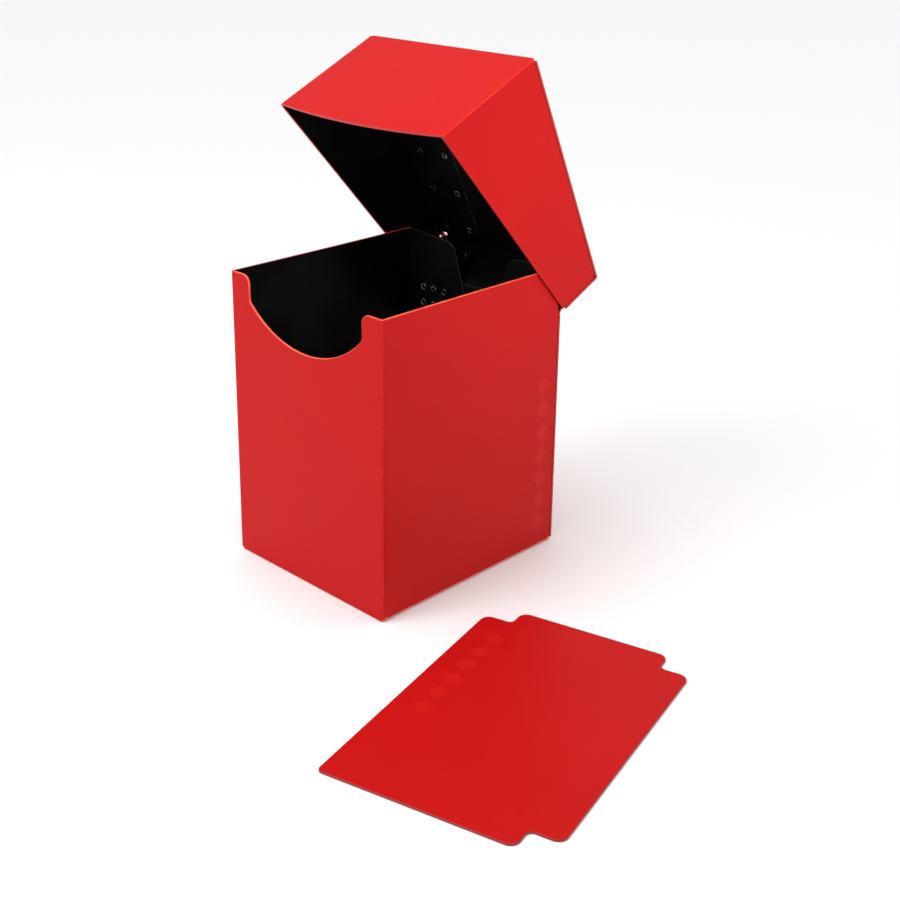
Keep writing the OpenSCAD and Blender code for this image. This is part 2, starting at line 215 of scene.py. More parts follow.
def filled(outline, spine, rings=4):
    # closed outline filled towards a straight spine: each outline point is joined to its
    # nearest knot by evenly spaced points
    nearest = np.argmin(np.linalg.norm(outline[:, None] - spine[None], axis=2), axis=1)
    nearest[-1] = nearest[0]
    share = np.linspace(0, 1, rings + 1)[None, :, None]
    return spine[nearest][:, None] * (1 - share) + outline[:, None] * share


def lidTurned(patches):
    # both faces turned open about the hinge line
    return [dict(patch, outer=turned(patch["outer"], openAngle),
                 inner=turned(patch["inner"], openAngle)) for patch in patches]


def mirrored(patches):
    # both faces with x' = -x
    flip = np.array([-1, 1, 1])
    return [dict(patch, outer=patch["outer"] * flip, inner=patch["inner"] * flip)
            for patch in patches]


# From patches to a closed mesh

def unit(vectors):
    # each vector over its own length
    return vectors / np.maximum(np.linalg.norm(vectors, axis=-1, keepdims=True), 1e-12)


def patchNormals(patch):
    # a curved patch takes the cross product of its grid's two directions, and any other patch
    # the direction from its inner to its outer point
    outer = patch["outer"]
    outward = unit(outer - patch["inner"])
    if not patch["curved"]:
        return outward
    normal = unit(np.cross(np.gradient(outer, axis=0), np.gradient(outer, axis=1)))
    return normal * np.sign((normal * outward).sum(-1, keepdims=True))


def gridQuads(patch):
    # corners of each cell, in the order that makes the face point outwards
    rows, columns = patch["outer"].shape[:2]
    index = np.arange(rows * columns).reshape(rows, columns)
    quads = np.stack([index[:-1, :-1], index[1:, :-1], index[1:, 1:], index[:-1, 1:]], -1)
    quads = quads.reshape(-1, 4)
    outward = (patch["outer"] - patch["inner"]).reshape(-1, 3)
    first, second, third, fourth = patch["outer"].reshape(-1, 3)[quads.T]
    normal = np.cross(third - first, fourth - second)
    return quads if (normal * outward[quads[:, 0]]).sum() > 0 else quads[:, ::-1]


def cornered(quads):
    # full quads, and triangles where two neighbouring corners are the same point
    same = quads == np.roll(quads, -1, axis=1)
    triangular = same.sum(1) == 1
    return quads[same.sum(1) == 0], quads[triangular][~same[triangular]].reshape(-1, 3)


def smoothMesh(name, points, faces, attributes):
    # a smooth-shaded mesh, with one number at each point for each attribute
    mesh = bpy.data.meshes.new(name)
    mesh.from_pydata(points, [], faces)
    mesh.polygons.foreach_set("use_smooth", np.ones(len(faces), bool))
    for label, values in attributes.items():
        layer = mesh.attributes.new(label, "FLOAT", "POINT")
        layer.data.foreach_set("value", values.astype(np.float32))
    return mesh


def sheetMesh(name, patches, joined=None, rounding=sheet["edgeRound"], redFrom=np.inf):
    # The outer faces, the same faces turned over at the inner points, and along each cut edge
    # a strip that rounds both rims: a quarter turn, a straight band and a quarter turn.
    # joined(x, y, z) is true where a boundary edge meets the next panel and stays square.
    # From redFrom outwards the inner face takes the finish of the cut edge.
    starts = np.cumsum([0] + [patch["outer"][..., 0].size for patch in patches])
    quads = np.concatenate([gridQuads(patch) + start for patch, start in zip(patches, starts)])
    outer = np.concatenate([patch["outer"].reshape(-1, 3) for patch in patches])
    inner = np.concatenate([patch["inner"].reshape(-1, 3) for patch in patches])
    normal = np.concatenate([patchNormals(patch).reshape(-1, 3) for patch in patches])
    bent = np.concatenate([np.broadcast_to(patch["bent"], patch["outer"].shape[:2]).ravel()
                           for patch in patches])

    # points in the same place become one
    place = np.round(outer / samePlace).astype(np.int64)
    _, first, index = np.unique(place, axis=0, return_index=True, return_inverse=True)
    index = index.ravel()
    total = np.zeros((len(first), 3))
    np.add.at(total, index, normal)
    outer, inner, normal = outer[first], inner[first], unit(total)
    strongest = np.zeros(len(first))
    np.maximum.at(strongest, index, bent)
    fours, threes = cornered(index[quads])
    count = len(outer)

    # boundary edges run with the sheet on their left
    edges = np.concatenate([np.stack([faces, np.roll(faces, -1, axis=1)], -1).reshape(-1, 2)
                            for faces in (fours, threes)])
    rim = edges[~np.isin(edges[:, 0] * count + edges[:, 1], edges[:, 1] * count + edges[:, 0])]
    middle = outer[rim].mean(1)
    isJoin = np.zeros(len(rim), bool) if joined is None else joined(*middle.T)
    cuts, joins = rim[~isJoin], rim[isJoin]

    # how far each cut point moves into the sheet for every metre of rounding
    left = unit(np.cross(normal[cuts].mean(1), outer[cuts[:, 1]] - outer[cuts[:, 0]]))
    pull = np.zeros((count, 3))
    np.add.at(pull, cuts.ravel(), np.repeat(left, 2, axis=0))
    meets = np.bincount(cuts.ravel(), minlength=count)[:, None]
    size = (pull ** 2).sum(-1, keepdims=True)
    sharpest = 0.1         # below this the two edges run back on themselves, and nothing moves
    mitred = np.where(size > sharpest, 2 * pull / np.maximum(size, sharpest), 0)
    pull = np.where(meets == 1, pull, mitred)
    away = -unit(pull)

    # levels round the edge: how far in, how deep, and how far the normal has turned
    depth = np.linalg.norm(outer - inner, axis=1, keepdims=True)
    slope = np.sqrt(0.5)
    levels = [(1, 0, 0, 0), (1 - slope, 1 - slope, 0, 45), (0, 1, 0, 90),
              (0, -1, 1, 90), (1 - slope, slope - 1, 1, 135), (1, 0, 1, 180)]
    points, normals, depths = [], [], []
    for inwards, rims, side, angle in levels:
        share = np.clip(side + rims * rounding / depth, 0, 1)
        points.append(outer + (inner - outer) * share + pull * inwards * rounding)
        tilt = np.radians(angle)
        normals.append(unit(normal * np.cos(tilt) + away * np.sin(tilt)))
        depths.append(share[:, 0])
    isCut = meets[:, 0] > 0
    ring = np.cumsum(isCut) - 1
    ringCount = isCut.sum()

    def at(level, vertices):
        # levels 0 and 5 are whole faces, and those between hold only the cut points
        if level == 0:
            return vertices
        if level == 5:
            return vertices + count
        return 2 * count + (level - 1) * ringCount + ring[vertices]

    def stacked(values):
        # the values of all levels, in the order that at() counts them
        between = [level[isCut] for level in values[1:5]]
        return np.concatenate([values[0], values[5], *between])

    start, stop = cuts.T
    strips = [np.stack([at(k, stop), at(k, start), at(k + 1, start), at(k + 1, stop)], 1)
              for k in range(5)]
    start, stop = joins.T
    ends = np.stack([stop, start, start + count, stop + count], 1)
    isStart = np.isin(cuts[:, 0], joins[:, 1])
    isStop = np.isin(cuts[:, 1], joins[:, 0])
    around = [0, 5, 4, 3, 2, 1]
    caps = [np.stack([at(k, cuts[isStart, 0]) for k in around], 1),
            np.stack([at(k, cuts[isStop, 1]) for k in range(6)], 1)]

    # finishes: 0 outside, 1 inside, 2 cut edge
    outside = np.abs(outer[fours, 0].mean(1)) > redFrom
    groups = [(fours, 0), (threes, 0), (fours[~outside, ::-1] + count, 1),
              (fours[outside, ::-1] + count, 2), (threes[:, ::-1] + count, 1),
              *[(strip, 2) for strip in strips], (ends, 2), *[(cap, 2) for cap in caps]]
    faces = [face for group, _ in groups for face in group.tolist()]
    finish = np.concatenate([np.full(len(group), number) for group, number in groups])

    mesh = smoothMesh(name, stacked(points), faces, dict(
        depth=stacked(depths), bent=stacked([strongest] * len(levels))))
    mesh.polygons.foreach_set("material_index", finish.astype(np.int32))
    mesh.update()
    return mesh, stacked(normals)


def added(name, data):
    # a new object in the scene
    made = bpy.data.objects.new(name, data)
    bpy.context.scene.collection.objects.link(made)
    return made


def placed(name, mesh, body, nodes, finishes):
    # a new piece with these finishes, which rides its body in place of the frame's nodes
    made = added(name, mesh)
    for finish in finishes:
        mesh.materials.append(finish)
    if body:
        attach(made, body)
    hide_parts(*nodes)
    return made


def piece(name, body, nodes, slot, finishes, patches, joined=None, exactNormals=True, **options):
    # a sheet made of patches, placed; without exact normals it keeps those of its faces
    mesh, normals = sheetMesh(name, patches, joined, **options)
    if exactNormals:
        mesh.normals_split_custom_set_from_vertices(normals.tolist())
    return placed(name, mesh, body, nodes, finishes)


# Shader maths

def operator(operation, reflected=False):
    # a method that adds one Math node, with its two values swapped if it is the reflected form
    def method(self, other):
        values = (other, self) if reflected else (self, other)
        return self.maths(operation, *values)
    return method


# A socket in a material: arithmetic on it adds Math nodes, and node() adds any other node.
class Wire:
    def __init__(self, tree, socket=None):
        self.tree, self.socket = tree, socket

    def node(self, kind, settings=None, inputs=None, output=0):
        # wires among the inputs are linked, and other values set on the node's own sockets
        made = self.tree.nodes.new("ShaderNode" + kind)
        for key, value in (settings or {}).items():
            setattr(made, key, value)
        for key, value in (inputs or {}).items():
            if isinstance(value, Wire):
                self.tree.links.new(value.socket, made.inputs[key])
            else:
                made.inputs[key].default_value = value
        return Wire(self.tree, made.outputs[output] if made.outputs else None)

    def maths(self, operation, *values):
        # one Math node, with its values in order
        return self.node("Math", dict(operation=operation), dict(enumerate(values)))

    def __abs__(self):
        return self.maths("ABSOLUTE", self)

    __add__, __radd__ = operator("ADD"), operator("ADD", True)
    __sub__, __rsub__ = operator("SUBTRACT"), operator("SUBTRACT", True)
    __mul__, __rmul__ = operator("MULTIPLY"), operator("MULTIPLY", True)
    __truediv__, __rtruediv__ = operator("DIVIDE"), operator("DIVIDE", True)


def newMaterial(name):
    # an empty material, and a wire that adds nodes to it
    material = bpy.data.materials.new(name)
    material.use_nodes = True
    material.node_tree.nodes.clear()
    return material, Wire(material.node_tree)


def finishMaterial(wire, inputs):
    # a principled surface with these sockets, on the material's output
    wire.node("OutputMaterial", {}, {"Surface": wire.node("BsdfPrincipled", {}, inputs)})


def bumped(wire, height, distance, below=None):
    # the normal tilted by a height map, on top of the bumps below if there are any
    inputs = {"Height": height, "Distance": distance, "Strength": 1.0}
    return wire.node("Bump", {}, dict(inputs, Normal=below) if below else inputs)


def smoothStep(wire, value, low, high):
    # 0 up to low, 1 from high, and between them s s (3 - 2 s) of the share s
    return wire.node("MapRange", dict(interpolation_type="SMOOTHSTEP"),
                     {"Value": value, "From Min": low, "From Max": high})


def mixed(wire, share, first, second):
    # colours: (1 - share) first + share second
    return wire.node("Mix", dict(data_type="RGBA"), {0: share, 6: first, 7: second}, output=2)


def noise(wire, place, scale, detail=2.0, roughness=0.5):
    # cloudy values from 0 to 1, with this many clouds to the metre
    return wire.node("TexNoise", {}, {"Vector": place, "Scale": scale, "Detail": detail,
                                      "Roughness": roughness})


def streaks(wire, place, look):
    # noise squeezed along one axis, rising from 0 to 1 between two limits; the turn only picks
    # another part of the noise
    squeezed = wire.node("Mapping", {}, {"Vector": place, "Rotation": look["turn"],
                                         "Scale": look["squeeze"]})
    cloudy = noise(wire, squeezed, look["scale"], detail=3.0, roughness=0.6)
    return smoothStep(wire, cloudy, *look["limits"])


def clouds(wire, place, look):
    # noise rising from 0 to 1 between two limits
    return smoothStep(wire, noise(wire, place, look["scale"], look["detail"]), *look["limits"])


# The red face of the sheet

red = dict(
    body=(0.52, 0.0052, 0.0052, 1),
    deep=(0.485, 0.0045, 0.0045, 1), deepShare=0.55,
    # crease colour: paler along folds, stress whitening and a painted highlight, mottled by clouds
    crease=(0.64, 0.026, 0.018, 1), creaseLimits=(0.55, 1.0), creaseShare=0.45, rubShare=0.40,
    mark=(0.575, 0.0125, 0.0105, 1), markShare=0.75,
    cloud=dict(scale=28, detail=3, limits=(0.35, 0.70)),
    rub=dict(scale=420, detail=4, limits=(0.40, 0.62)),
    scuff=dict(turn=(0.4, 0.2, 0.7), squeeze=(1, 1, 14), scale=90, limits=(0.66, 0.78)),
    specular=0.10,
    roughness=0.46, markRoughness=0.30,
    grainRough=0.10, scuffRough=0.07, cloudRough=0.03,
    grainSize=0.34 * mm, grainHeight=0.016 * mm,
    waveSize=9 * mm, waveHeight=0.030 * mm,
)
lozengeRow = dict(
    pitch=8.2 * mm, length=7.0 * mm, width=6.6 * mm,
    softness=0.03,         # of the lozenge's edge, where its middle is 0 and its edge 0.5
)


def lozenges(wire, place, mark):
    # a row of lozenges: |along| / length + |across| / width under one half, repeated at a pitch
    local = wire.node("Mapping", dict(vector_type="TEXTURE"),
                      {"Vector": place, "Location": mark["centre"], "Rotation": mark["turn"]})
    parts = local.node("SeparateXYZ", {}, {"Vector": local})
    across, along = parts, Wire(wire.tree, parts.socket.node.outputs[1])
    step = along / mark["pitch"] + mark["count"] / 2
    cell = abs(wire.maths("FRACT", step) - 0.5) * (mark["pitch"] / mark["length"])
    diamond = cell + abs(across) * (1 / mark["width"])
    inRow = wire.maths("LESS_THAN", abs(along), mark["pitch"] * mark["count"] / 2)
    return (1 - smoothStep(wire, diamond, 0.5 - mark["softness"], 0.5)) * inRow


def redSheet(name, mark=None):
    # red with deeper clouds, paler along folds and the hinge web by stress whitening and a painted
    # highlight, on a fine grain and a long wave
    material, wire = newMaterial(name)
    place = wire.node("TexCoord", output=3)
    bent = wire.node("Attribute", dict(attribute_name="bent"), output=2)
    cloud = clouds(wire, place, red["cloud"])
    colour = mixed(wire, cloud * red["deepShare"], red["body"], red["deep"])
    # paler along folds: stress whitening and a painted highlight, mottled by clouds
    rubbed = red["creaseShare"] + clouds(wire, place, red["rub"]) * red["rubShare"]
    crease = smoothStep(wire, bent, *red["creaseLimits"]) * rubbed
    colour = mixed(wire, crease, colour, red["crease"])
    scuff = streaks(wire, place, red["scuff"])
    grain = noise(wire, place, 1 / red["grainSize"])
    rough = red["roughness"] + (grain - 0.5) * red["grainRough"]
    rough = rough + scuff * red["scuffRough"] - cloud * red["cloudRough"]
    if mark:
        shape = lozenges(wire, place, mark)
        colour = mixed(wire, shape * red["markShare"], colour, red["mark"])
        rough = rough + shape * (red["markRoughness"] - red["roughness"])
    wave = bumped(wire, noise(wire, place, 1 / red["waveSize"]), red["waveHeight"])
    finishMaterial(wire, {
        "Base Color": colour, "Roughness": rough, "Specular IOR Level": red["specular"],
        "Normal": bumped(wire, grain, red["grainHeight"], wave)})
    return material


# The black face

black = dict(
    body=(0.0040, 0.0041, 0.0042, 1),
    rubbed=(0.014, 0.014, 0.015, 1),
    level=dict(turn=(0, 0.5, 0.3), squeeze=(1, 1, 18), scale=120, limits=(0.60, 0.74)),
    upright=dict(turn=(1.1, 0, 0.9), squeeze=(16, 1, 1), scale=150, limits=(0.62, 0.76)),
    haze=dict(scale=45, detail=4, limits=(0.42, 0.72)),
    specks=dict(scale=2600, detail=1, limits=(0.74, 0.80)),
    streakShare=0.35, hazeShare=0.30, speckShare=0.8,
    specular=0.13,
    roughness=0.40, wornRough=0.12, grainRough=0.12,
    grainSize=0.30 * mm, grainHeight=0.008 * mm,
)


def blackSheet(name):
    # black, paler by the sum of level and upright streaks, haze and specks, on a fine grain
    material, wire = newMaterial(name)
    place = wire.node("TexCoord", output=3)
    grain = noise(wire, place, 1 / black["grainSize"])
    share = black["streakShare"]
    rubbed = streaks(wire, place, black["level"]) * share + streaks(wire, place, black["upright"]) * share
    hazy = rubbed + clouds(wire, place, black["haze"]) * black["hazeShare"]
    speckled = hazy + clouds(wire, place, black["specks"]) * black["speckShare"]
    worn = wire.maths("MINIMUM", speckled, 1.0)
    finishMaterial(wire, {
        "Base Color": mixed(wire, worn, black["body"], black["rubbed"]),
        "Roughness": black["roughness"] + worn * black["wornRough"] + (grain - 0.5) * black["grainRough"],
        "Normal": bumped(wire, grain, black["grainHeight"]),
        "Specular IOR Level": black["specular"]})
    return material


# The cut edge: a painted glow where light gets into the red ply, painted highlights along both rims, and
# dark on the black flaps

cut = dict(
    # looks: the painted glow lights the edges of the body's front, sides and bottom by emission; plain is
    # for the lid and back; shaded is a darker copy, painted shade, for the divider; dark is for the black
    # flaps and tabs, with grey painted rim highlights
    bright=dict(glow=(1.0, 0.150, 0.050, 1), dull=(0.80, 0.045, 0.022, 1), light=0.26),
    plain=dict(glow=(0.52, 0.012, 0.010, 1), dull=(0.44, 0.008, 0.008, 1), light=0.0),
    shaded=dict(glow=(0.34, 0.010, 0.009, 1), dull=(0.24, 0.007, 0.007, 1), light=0.0),
    dark=dict(glow=(0.20, 0.20, 0.205, 1), dull=(0.06, 0.06, 0.062, 1), light=0.0),
    black=(0.006, 0.006, 0.006, 1),
    blackFrom=0.75,        # share of the thickness at which the black ply starts
    blackSoftness=0.03, blackRagged=0.05,
    middle=0.40, rimLimits=(0.12, 0.30),   # where the dull stripe lies, and how wide it is
    dullShare=0.5,
    worn=dict(scale=260, detail=3, limits=(0.35, 0.68)),
    burrScale=3800, burrHeight=0.02 * mm, burrRough=0.2,
    roughness=0.38,
)


def cutEdge(name, look, inside=True):
    # painted highlights at both rims, duller between them and in patches, then the black ply at the inner
    # rim; with light above nought the edge also glows, a painted glow
    material, wire = newMaterial(name)
    place = wire.node("TexCoord", output=3)
    depth = wire.node("Attribute", dict(attribute_name="depth"), output=2)
    burr = noise(wire, place, cut["burrScale"], 3)
    worn = clouds(wire, place, cut["worn"])
    # painted rim highlights: paler towards both rims of the cut
    rims = smoothStep(wire, abs(depth - cut["middle"]), *cut["rimLimits"])
    dull = worn * cut["dullShare"] + (1 - rims) * cut["dullShare"]
    colour = mixed(wire, dull, look["glow"], look["dull"])
    if inside:
        ragged = depth + (burr - 0.5) * cut["blackRagged"]
        start, soft = cut["blackFrom"], cut["blackSoftness"]
        colour = mixed(wire, smoothStep(wire, ragged, start - soft, start + soft), colour, cut["black"])
    finishMaterial(wire, {
        "Base Color": colour, "Emission Color": colour, "Emission Strength": look["light"],
        "Roughness": cut["roughness"] + (burr - 0.5) * cut["burrRough"],
        "Normal": bumped(wire, burr, cut["burrHeight"])})
    return material


# The melted rims of the weld spots

melted = dict(
    dish=(0.006, 0.006, 0.0065, 1),
    rim=(0.014, 0.014, 0.0145, 1),
    # pale patches on the crest: painted highlights, in part whitened melt
    pale=(0.60, 0.60, 0.61, 1),
    patches=dict(scale=900, detail=2, limits=(0.45, 0.62)),
    crestLimits=(0.35, 0.95),
    meltScale=1900, meltHeight=0.03 * mm, meltRough=0.18,
    roughness=0.20, refraction=1.49,
)


def weldFinish(name):
    # black in the dish, and on the crest of the rim a paler black with pale patches: painted highlights,
    # in part whitened melt
    material, wire = newMaterial(name)
    place = wire.node("TexCoord", output=3)
    melt = noise(wire, place, melted["meltScale"], 3)
    height = wire.node("Attribute", dict(attribute_name="crest"), output=2)
    rim = mixed(wire, clouds(wire, place, melted["patches"]), melted["rim"], melted["pale"])
    crest = smoothStep(wire, height, *melted["crestLimits"])
    finishMaterial(wire, {
        "Base Color": mixed(wire, crest, melted["dish"], rim), "IOR": melted["refraction"],
        "Roughness": melted["roughness"] + melt * melted["meltRough"],
        "Normal": bumped(wire, melt, melted["meltHeight"])})
    return material


sideMark = dict(
    lozengeRow, count=7,
    centre=(halfWidth, bodyBack - 7.5 * mm, 34 * mm),
    turn=(np.pi / 2, 0, np.pi / 2),
)

redFinish = redSheet("redSheet")
blackFinish = blackSheet("blackSheet")
paintedGlowEdge = cutEdge("cutEdgeBright", cut["bright"])
plainEdge = cutEdge("cutEdgePlain", cut["plain"], inside=False)
darkEdge = cutEdge("cutEdgeDark", cut["dark"])
folded = [redFinish, blackFinish, paintedGlowEdge]
backFolded = [redFinish, blackFinish, plainEdge]
tucked = [redFinish, blackFinish, darkEdge]
print("finishes made")


# Body: front, with its thumb notch

notch = dict(
    width=52 * mm,
    depth=19.5 * mm,
    bottomRadius=36 * mm,
    footRadius=2.5 * mm,
    lipRadius=3 * mm,
    lipSteps=8, footSteps=6, bottomSteps=20,
    cell=1.6 * mm,
)
frontPanel = dict(
    bow=0.25 * mm,         # how far the wall is pushed in at its middle
    rows=30,
)


def nearly(value, place):
    # true where the two differ by less than samePlace
    return np.abs(value - place) < samePlace


def foldJoined(half):
    # a panel meets its side neighbours where their folds end, at |x| = half
    return lambda x, y, z: nearly(np.abs(x), half)


bodyJoined, lidJoined = foldJoined(flatHalf), foldJoined(lidFlatHalf)


def notchOutline():
    # Along the top edge, over the rounded lip, down the straight side, round the foot and
    # along the round bottom; then the same, mirrored. The foot's circle touches the bottom's.
    half = notch["width"] / 2
    lip, foot, bottom = notch["lipRadius"], notch["footRadius"], notch["bottomRadius"]
    middleZ = bodyTop - notch["depth"] + bottom
    footX = half - foot
    footZ = middleZ - np.sqrt((bottom - foot) ** 2 - footX ** 2)
    lean = np.degrees(np.arctan2(middleZ - footZ, footX))
    left = joinedPath(
        (-flatHalf, bodyTop),
        arc((-half - lip, bodyTop - lip), lip, 90, 0, notch["lipSteps"]),
        arc((-footX, footZ), foot, 180, 180 + lean, notch["footSteps"]),
        arc((0, middleZ), bottom, 180 + lean, 270, notch["bottomSteps"]))
    right = (left * np.array([-1, 1]))[::-1]
    return divided(joinedPath(left, right), notch["cell"])


def frontPatches():
    # each point of the top edge is joined by a straight line to a point of the bottom fold,
    # and the wall bows in as cos x and sin z over its width and height
    outline = notchOutline()
    half = notch["width"] / 2
    length = np.append(0, np.cumsum(np.linalg.norm(np.diff(outline, axis=0), axis=1)))
    inNotch = np.flatnonzero(np.abs(outline[:, 0]) < half - noStep)
    start, stop = length[inNotch[0] - 1], length[inNotch[-1] + 1]
    foot = np.interp(length, [0, start, stop, length[-1]], [-flatHalf, -half, half, flatHalf])
    share = np.linspace(0, 1, frontPanel["rows"] + 1)[None, :]
    across = foot[:, None] + (outline[:, :1] - foot[:, None]) * share
    up = foldRadius + (outline[:, 1:] - foldRadius) * share
    bow = frontPanel["bow"] * np.cos(across / flatHalf * np.pi / 2)
    bow = bow * np.sin((up - foldRadius) / bodyTop * np.pi / 2)
    return [
        wall(bodyFront * yAxis, across, xAxis, up, zAxis, yAxis, bow),
        fold(wallFront * yAxis + foldRadius * zAxis, foot, xAxis, -yAxis, -zAxis, stretch=0.0),
    ]


piece("frontPanel", "box", ["front_panel", "body_inner_ply"], "red_sheet", folded, frontPatches(),
      lambda x, y, z: nearly(np.abs(x), flatHalf) | nearly(z, 0))


# Body: sides

sidePanel = dict(
    bow=0.30 * mm,
    cornerRows=3,          # rows of faces beside the corner where three folds meet
)


def sidePatches():
    # the wall, bowed in as sin y and sin z, its two upright folds and the fold below it
    foot = thick + foldRadius
    y, z = lines(wallFront, wallBack), lines(foot, bodyTop)
    below = np.linspace(thick, foot, sidePanel["cornerRows"] + 1)
    upright = np.concatenate([below, z[1:]])
    across, up = np.meshgrid(y, z, indexing="ij")
    reach = (across - wallFront) / (wallBack - wallFront)
    bow = sidePanel["bow"] * np.sin(reach * np.pi)
    bow = bow * np.sin((up - foot) / (bodyTop - foot) * np.pi / 2)
    return [
        wall(halfWidth * xAxis, across, yAxis, up, zAxis, -xAxis, bow),
        fold(flatHalf * xAxis + wallFront * yAxis, upright, zAxis, xAxis, -yAxis),
        fold(flatHalf * xAxis + wallBack * yAxis, upright, zAxis, xAxis, yAxis),
        fold(flatHalf * xAxis + foot * zAxis, y, yAxis, xAxis, -zAxis, stretch=0.0),
    ]


markedFolded = [redSheet("redSheetMarked", sideMark), blackFinish, paintedGlowEdge]
piece("rightSidePanel", "box", ["right_side_panel"], "red_sheet", markedFolded,
      sidePatches(), bodyJoined)
piece("leftSidePanel", "box", ["left_side_panel"], "red_sheet", folded,
      mirrored(sidePatches()), bodyJoined)


# Body: back and bottom

backPanel = dict(
    webMargin=0.2 * mm,    # from the end of the hinge web to the panel's side
)
webHalf = halfWidth - backPanel["webMargin"]


def backPatches():
    # full-width wall, and the fold under it, which is as wide as the bottom
    floorBack = bodyBack - foldRadius
    narrow = lines(-flatHalf, flatHalf)
    wide = np.concatenate([[-halfWidth, -webHalf], narrow, [webHalf, halfWidth]])
    across, up = np.meshgrid(wide, lines(foldRadius, backTop), indexing="ij")
    return [
        wall(bodyBack * yAxis, across, xAxis, up, zAxis, -yAxis),
        fold(floorBack * yAxis + foldRadius * zAxis, narrow, xAxis, yAxis, -zAxis, stretch=0.0),
    ]


def bottomPatches():
    # a flat wall between the front's and the back's folds
    x, y = lines(-flatHalf, flatHalf), lines(wallFront, bodyBack - foldRadius)
    across, along = np.meshgrid(x, y, indexing="ij")
    return [wall(np.zeros(3), across, xAxis, along, yAxis, zAxis)]


piece("backPanel", "box", ["back_panel"], "red_sheet", backFolded, backPatches(),
      lambda x, y, z: nearly(z, 0) | (nearly(z, backTop) & (np.abs(x) < webHalf)), redFrom=flatHalf)
piece("bottomPanel", "box", ["bottom_panel"], "red_sheet", folded, bottomPatches(),
      lambda x, y, z: nearly(y, wallFront) | nearly(y, bodyBack - foldRadius))


# Body: rear and bottom flaps

rearFlap = dict(
    taper=7.5 * mm,        # how much narrower the flap is at its top
    taperHeight=24 * mm,
    fall=1.8 * mm,         # fall of its top edge towards the middle
    cornerRadius=4 * mm,
    bendRadius=10 * mm,
    spineMargin=9 * mm,    # from the flap's ends to the line that its faces run from
)
bottomFlap = dict(
    bevel=6 * mm,
    cornerRadius=0.6 * mm,
    spineMargin=13 * mm,
)


def flatPatch(outline, spine, origin, acrossAxis, upAxis, inward, depth=thick):
    # a flat wall with this outline, filled towards the spine
    grid = filled(divided(outline, sheet["cell"]), spine)
    return [wall(origin, grid[..., 0], acrossAxis, grid[..., 1], upAxis, inward, depth=depth)]


def rearFlapPatches():
    # straight up the fold, slanting along the top, and bent outwards below the shoulder
    inner = span("right_rear_flap", 0)[0]
    foot = span("right_rear_flap", 2)[0]
    shoulder = bodyTop - rearFlap["fall"]
    outline = roundedOutline([
        (flatHalf, foot, 0),
        (flatHalf, bodyTop, 0),
        (inner + rearFlap["taper"], shoulder, rearFlap["cornerRadius"]),
        (inner, shoulder - rearFlap["taperHeight"], rearFlap["bendRadius"]),
        (inner, foot, rearFlap["cornerRadius"])])
    middle = (inner + rearFlap["taper"] + flatHalf) / 2
    spine = spineUp(middle, foot, shoulder, rearFlap["spineMargin"])
    return flatPatch(outline, spine, flapBack * yAxis, xAxis, zAxis, -yAxis)


def bottomFlapPatches():
    # a rectangle with a bevel at each free corner
    inner = span("right_bottom_flap", 0)[0]
    bevel, radius = bottomFlap["bevel"], bottomFlap["cornerRadius"]
    outline = roundedOutline([
        (flatHalf, wallFront, 0),
        (flatHalf, wallBack, 0),
        (inner + bevel, wallBack, radius),
        (inner, wallBack - bevel, radius),
        (inner, wallFront + bevel, radius),
        (inner + bevel, wallFront, radius)])
    spine = spineUp((inner + flatHalf) / 2, wallFront, wallBack, bottomFlap["spineMargin"])
    return flatPatch(outline, spine, thick * zAxis, xAxis, yAxis, zAxis)


for kind, patches in (("Rear", rearFlapPatches()), ("Bottom", bottomFlapPatches())):
    for side, turn in (("right", list), ("left", mirrored)):
        node = f"{side}_{kind.lower()}_flap"
        piece(f"{side}{kind}Flap", "box", [node], "black_sheet", tucked, turn(patches), bodyJoined)
print("body made")


# Living hinge: a thinned web, drawn with the lid open

hingeWeb = dict(
    thin=0.32 * mm,        # thickness on the hinge line
    stripGap=0.9 * mm,     # height of the strip's edge above the hinge line, shut
    bendReach=0.9 * mm,    # how far to each side of the hinge line the web bends; the chord made from it is not used
    thinReach=0.75 * mm,   # how far from the hinge line the web thickens again
    thinPower=0.5,         # how sharply the thinning starts at the web's two ends
    boxPull=0.55, lidPull=0.42,            # how straight the web leaves the box and the lid
    steps=24,
    edgeRound=0.06 * mm,
)


def hingePath():
    # cubic curve from the middle of the back panel's top edge to the middle of the strip's edge
    opened = np.array([np.sin(openAngle), np.cos(openAngle)])
    start = np.array([bodyBack - thick / 2 - hingeY, backTop - hingeZ])
    stop = opened * hingeWeb["stripGap"]
    share = np.linspace(0, 1, hingeWeb["steps"] + 1)[:, None]
    size = np.linalg.norm(start)
    startPull = start + np.array([0, hingeWeb["boxPull"]]) * size
    stopPull = stop - opened * size * hingeWeb["lidPull"]
    return (start * (1 - share) ** 3 + 3 * startPull * share * (1 - share) ** 2
            + 3 * stopPull * share ** 2 * (1 - share) + stop * share ** 3), share[:, 0]


